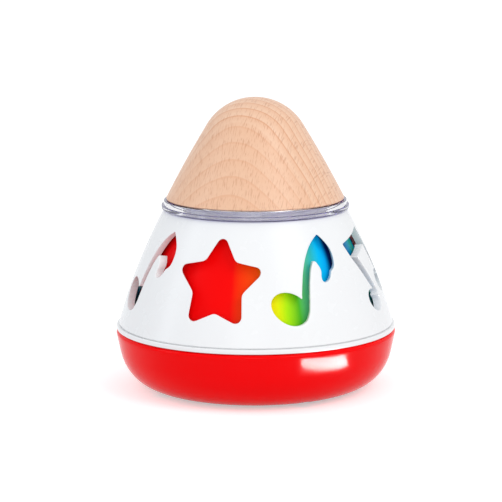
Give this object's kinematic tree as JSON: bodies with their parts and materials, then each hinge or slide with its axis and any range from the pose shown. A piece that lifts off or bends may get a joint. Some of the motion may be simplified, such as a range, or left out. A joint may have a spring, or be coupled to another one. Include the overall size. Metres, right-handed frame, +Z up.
{
  "type": "rotating music box",
  "caption": "Wind-up music box with a wooden winding top, a white shell with star and note windows, a rainbow drum that turns behind them and a red bowl-shaped base.",
  "frame": {"origin": "on the ground under the middle of the toy, in the plane of the foot pads", "axes": "+Z up along the winding shaft, -Y towards the front star window, +X towards a double-note window"},
  "size_m": [0.12, 0.12, 0.125],
  "materials": {
    "red_plastic": "moulded, glossy red",
    "white_plastic": "moulded, satin white",
    "rainbow_plastic": "printed all round with rainbow colours",
    "lilac_plastic": "moulded lilac",
    "clear_plastic": "clear, polished",
    "beech": "sanded beech with a thin clear coat",
    "grey_rubber": "matte",
    "zinc_steel": "zinc plated",
    "bright_steel": "bright turned steel",
    "brushed_steel": "pressed steel sheet",
    "blued_steel": "blued spring steel",
    "cast_zinc": null,
    "brass": "machined",
    "bronze": "sintered bearing bronze",
    "white_acetal": "moulded",
    "black_plastic": "moulded"
  },
  "bodies": {
    "base": {"base_bowl": "red_plastic", "base_screw_1": "zinc_steel", "base_screw_2": "zinc_steel", "base_screw_3": "zinc_steel", "base_screw_4": "zinc_steel", "foot_pad_1": "grey_rubber", "foot_pad_2": "grey_rubber", "foot_pad_3": "grey_rubber", "foot_pad_4": "grey_rubber", "trim_ring": "white_plastic", "outer_shell": "white_plastic", "movement_plate": "cast_zinc", "movement_screw_1": "zinc_steel", "movement_screw_2": "zinc_steel", "movement_screw_3": "zinc_steel", "plate_bush": "brass", "spring_housing": "brushed_steel", "spring_cover": "brushed_steel", "mainspring": "blued_steel", "shaft_bridge": "brass", "bridge_bush": "bronze", "bridge_pillar_1": "brass", "bridge_pillar_2": "brass", "bridge_screw_1": "zinc_steel", "bridge_screw_2": "zinc_steel", "comb": "bright_steel", "comb_screw_1": "zinc_steel", "comb_screw_2": "zinc_steel", "inner_bracket": "cast_zinc", "outer_bracket": "cast_zinc", "governor_bracket": "cast_zinc", "bracket_screw_1": "zinc_steel", "bracket_screw_2": "zinc_steel", "bracket_screw_3": "zinc_steel"},
    "rotor": {"wooden_top": "beech", "clear_collar": "clear_plastic", "turntable": "lilac_plastic", "rainbow_drum": "rainbow_plastic", "top_screw_1": "zinc_steel", "top_screw_2": "zinc_steel", "top_screw_3": "zinc_steel", "winding_shaft": "bright_steel", "set_screw": "zinc_steel", "ratchet_wheel": "bright_steel"},
    "great_wheel": {"great_wheel": "brass", "click_spring": "blued_steel"},
    "click_pawl": {"click_pawl": "bright_steel"},
    "cylinder": {"cylinder_arbor": "bright_steel", "cylinder_pinion": "brass", "pinned_cylinder": "brass", "cylinder_wheel": "brass"},
    "idler": {"idler_arbor": "bright_steel", "idler_pinion": "brass", "worm_wheel": "white_acetal"},
    "governor": {"governor_worm": "bright_steel", "governor_fan": "black_plastic"}
  },
  "joints": [
    {"name": "top_turn", "type": "hinge", "parent": "base", "child": "rotor", "pos_m": [0, 0, 0], "axis": [0, 0, 1], "range_deg": [-1170, 0], "stiffness_Nm_per_rad": 0.0015, "deforming": ["mainspring"]},
    {"name": "great_wheel_turn", "type": "hinge", "parent": "base", "child": "great_wheel", "pos_m": [0, 0, 0], "axis": [0, 0, 1], "continuous": true},
    {"name": "click", "type": "hinge", "parent": "great_wheel", "child": "click_pawl", "pos_m": [-0.0096, -0.0085, 0.02825], "axis": [0, 0, 1], "range_deg": [0, 10], "stiffness_Nm_per_rad": 0.003, "deforming": ["click_spring"]},
    {"name": "cylinder_turn", "type": "hinge", "parent": "base", "child": "cylinder", "pos_m": [0, 0, 0.03343], "axis": [1, 0, 0], "continuous": true},
    {"name": "idler_turn", "type": "hinge", "parent": "base", "child": "idler", "pos_m": [0, 0.0125, 0.03343], "axis": [1, 0, 0], "continuous": true},
    {"name": "governor_turn", "type": "hinge", "parent": "base", "child": "governor", "pos_m": [0.0278, 0.0195, 0], "axis": [0, 0, 1], "continuous": true}
  ],
  "couplings": [
    {"joint": "great_wheel_turn", "follows": "top_turn", "ratio": 1},
    {"joint": "cylinder_turn", "follows": "top_turn", "ratio": 4},
    {"joint": "idler_turn", "follows": "top_turn", "ratio": -16},
    {"joint": "governor_turn", "follows": "top_turn", "ratio": 192}
  ]
}
